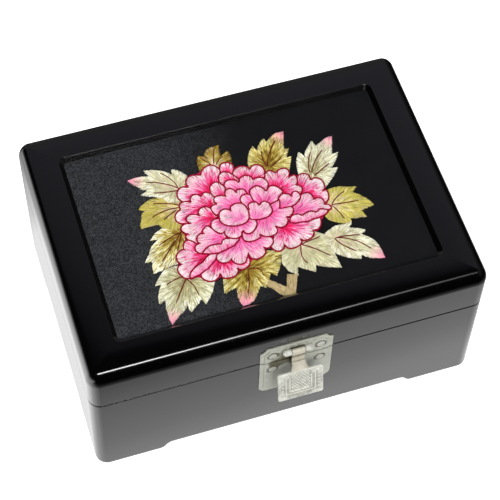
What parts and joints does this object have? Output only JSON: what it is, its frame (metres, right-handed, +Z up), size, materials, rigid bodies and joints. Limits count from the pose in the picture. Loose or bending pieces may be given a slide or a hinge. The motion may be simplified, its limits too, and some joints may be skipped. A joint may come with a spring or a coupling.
{
  "type": "embroidered jewellery box",
  "caption": "Black lacquered jewellery box with a hinged lid, a silk panel embroidered with a peony, a mirror and velvet inside, and a nickel hasp clasp.",
  "frame": {"origin": "bottom centre of the outer box, clasp included, on the surface it stands on", "axes": "+X to the right along the length, +Y to the hinged back, +Z up; the clasp faces -Y"},
  "size_m": [0.224, 0.1728, 0.1],
  "materials": {
    "black_lacquer": "black lacquer, satin gloss",
    "fibre_board": "raw fibre board",
    "floor_board": "raw plywood",
    "black_silk": "black satin-weave silk",
    "petal_thread": "silk floss in crimson, rose and pale pink",
    "leaf_thread": "silk floss in sage, olive and cream",
    "stem_thread": "silk floss in tan",
    "mirror_glass": "silvered glass",
    "burgundy_velvet": "short velvet pile",
    "hinge_steel": "nickel plated, satin",
    "clasp_nickel": "stamped, nickel plated, satin",
    "screw_nickel": "nickel plated"
  },
  "bodies": {
    "base": {"base_front_wall": "black_lacquer", "base_back_wall": "black_lacquer", "base_left_wall": "black_lacquer", "base_right_wall": "black_lacquer", "base_floor": "floor_board", "floor_liner": "burgundy_velvet", "wall_liner": "burgundy_velvet", "ring_rolls": "burgundy_velvet", "long_divider": "burgundy_velvet", "cross_divider": "burgundy_velvet", "short_divider": "burgundy_velvet", "hinge_base_leaves": "hinge_steel", "hinge_pins": "hinge_steel", "hinge_base_screws": "hinge_steel", "clasp_base_plate": "clasp_nickel", "clasp_catch": "clasp_nickel", "clasp_base_screws": "screw_nickel"},
    "lid": {"lid_top_frame": "black_lacquer", "lid_front_rail": "black_lacquer", "lid_back_rail": "black_lacquer", "lid_left_rail": "black_lacquer", "lid_right_rail": "black_lacquer", "panel_board": "fibre_board", "silk_panel": "black_silk", "peony_leaves": "leaf_thread", "peony_stem": "stem_thread", "peony_petals": "petal_thread", "lid_mirror": "mirror_glass", "mirror_surround": "burgundy_velvet", "lid_liner": "burgundy_velvet", "hinge_lid_leaves": "hinge_steel", "hinge_lid_screws": "hinge_steel", "clasp_lid_plate": "clasp_nickel", "clasp_pin": "clasp_nickel", "clasp_lid_screws": "screw_nickel"},
    "hasp": {"hasp_arm": "clasp_nickel", "hasp_plate": "clasp_nickel"}
  },
  "joints": [
    {"name": "lid_hinge", "type": "hinge", "parent": "base", "child": "lid", "pos_m": [0, 0.08335, 0.07025], "axis": [-1, 0, 0], "range_deg": [0, 98]},
    {"name": "hasp_hinge", "type": "hinge", "parent": "lid", "child": "hasp", "pos_m": [0.0022, -0.0767, 0.08021], "axis": [-1, 0, 0], "range_deg": [0, 140]}
  ]
}
